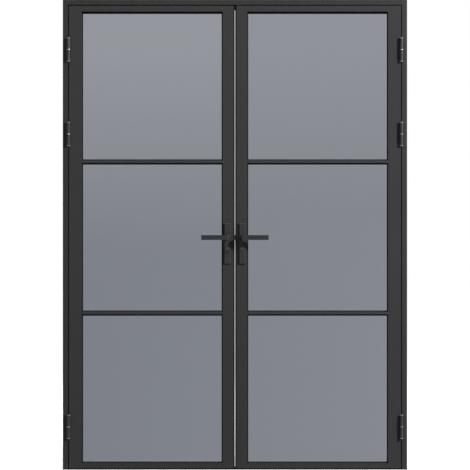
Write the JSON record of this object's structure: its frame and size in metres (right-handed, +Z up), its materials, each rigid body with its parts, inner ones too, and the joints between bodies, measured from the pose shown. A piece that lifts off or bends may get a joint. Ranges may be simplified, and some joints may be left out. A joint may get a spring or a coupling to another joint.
{
  "type": "double glass door",
  "caption": "Double glass door in a slim dark metal frame: two hinged leaves with tinted panes between glazing bars, lever handles, latch lock and top bolt.",
  "frame": {"origin": "on the floor at mid width, in the mid plane of the closed leaves", "axes": "+Z up, -Y to the front, towards which both leaves open, +X to the right seen from the front"},
  "size_m": [1.538, 0.156, 2.1],
  "materials": {
    "powder_coat": "matte anthracite powder coat, fine texture",
    "tinted_glass": "clear polished, grey tint",
    "black_rubber": "matte",
    "satin_steel": "satin"
  },
  "bodies": {
    "frame": {"frame_head": "powder_coat", "left_jamb": "powder_coat", "right_jamb": "powder_coat", "threshold": "powder_coat", "frame_seal": "black_rubber", "head_keep": "satin_steel", "hinge_frame_halves": "powder_coat", "hinge_pins": "satin_steel", "hinge_washers": "satin_steel"},
    "left_leaf": {"left_hinge_stile": "powder_coat", "left_lock_stile": "powder_coat", "left_top_rail": "powder_coat", "left_bottom_rail": "powder_coat", "left_glazing_bars": "powder_coat", "left_top_pane": "tinted_glass", "left_middle_pane": "tinted_glass", "left_bottom_pane": "tinted_glass", "left_glazing_beads": "powder_coat", "left_glazing_gaskets": "black_rubber", "left_hinge_leaf_halves": "powder_coat", "left_lock_case": "satin_steel", "left_forend": "satin_steel", "left_front_plate": "powder_coat", "left_back_plate": "powder_coat", "left_cylinder": "satin_steel", "left_meeting_seal": "black_rubber", "left_bottom_seal": "black_rubber"},
    "right_leaf": {"right_hinge_stile": "powder_coat", "right_lock_stile": "powder_coat", "right_top_rail": "powder_coat", "right_bottom_rail": "powder_coat", "right_glazing_bars": "powder_coat", "right_top_pane": "tinted_glass", "right_middle_pane": "tinted_glass", "right_bottom_pane": "tinted_glass", "right_glazing_beads": "powder_coat", "right_glazing_gaskets": "black_rubber", "right_hinge_leaf_halves": "powder_coat", "right_gear_case": "satin_steel", "right_strike_plate": "satin_steel", "right_front_plate": "powder_coat", "right_back_plate": "powder_coat", "right_cylinder": "satin_steel", "right_meeting_seal": "black_rubber", "right_bottom_seal": "black_rubber", "right_rod_guide": "black_rubber"},
    "left_lever": {"left_front_lever": "powder_coat", "left_back_lever": "powder_coat", "left_spindle": "satin_steel", "left_follower": "satin_steel"},
    "right_lever": {"right_front_lever": "powder_coat", "right_back_lever": "powder_coat", "right_spindle": "satin_steel", "right_follower": "satin_steel"},
    "left_key": {"left_key_plug": "satin_steel"},
    "right_key": {"right_key_plug": "satin_steel"},
    "latch": {"left_latch_bolt": "satin_steel"},
    "dead_bolt": {"left_dead_bolt": "satin_steel"},
    "top_rod": {"right_top_rod": "satin_steel"}
  },
  "joints": [
    {"name": "left_leaf_swing", "type": "hinge", "parent": "frame", "child": "left_leaf", "pos_m": [-0.7435, -0.03, 1.05], "axis": [0, 0, -1], "range_deg": [0, 110]},
    {"name": "right_leaf_swing", "type": "hinge", "parent": "frame", "child": "right_leaf", "pos_m": [0.7435, -0.03, 1.05], "axis": [0, 0, 1], "range_deg": [0, 110]},
    {"name": "left_lever_turn", "type": "hinge", "parent": "left_leaf", "child": "left_lever", "pos_m": [-0.033, 0, 1.037], "axis": [0, -1, 0], "range_deg": [0, 45], "stiffness_Nm_per_rad": 1.5, "springref_deg": -40.11},
    {"name": "right_lever_turn", "type": "hinge", "parent": "right_leaf", "child": "right_lever", "pos_m": [0.033, 0, 1.037], "axis": [0, -1, 0], "range_deg": [0, 45], "stiffness_Nm_per_rad": 1.5, "springref_deg": -40.11},
    {"name": "latch_slide", "type": "slide", "parent": "left_leaf", "child": "latch", "axis": [-1, 0, 0], "range_m": [0, 0.0105]},
    {"name": "left_key_turn", "type": "hinge", "parent": "left_leaf", "child": "left_key", "pos_m": [-0.033, 0, 0.987], "axis": [0, -1, 0], "range_deg": [0, 180]},
    {"name": "dead_bolt_slide", "type": "slide", "parent": "left_leaf", "child": "dead_bolt", "axis": [1, 0, 0], "range_m": [0, 0.014]},
    {"name": "right_key_turn", "type": "hinge", "parent": "right_leaf", "child": "right_key", "pos_m": [0.033, 0, 0.987], "axis": [0, 1, 0], "range_deg": [0, 180]},
    {"name": "top_rod_slide", "type": "slide", "parent": "right_leaf", "child": "top_rod", "axis": [0, 0, -1], "range_m": [0, 0.01]}
  ],
  "couplings": [
    {"joint": "latch_slide", "follows": "left_lever_turn", "m_per_rad": 0.01336},
    {"joint": "dead_bolt_slide", "follows": "left_key_turn", "m_per_rad": 0.004456},
    {"joint": "top_rod_slide", "follows": "right_lever_turn", "m_per_rad": 0.01273}
  ]
}
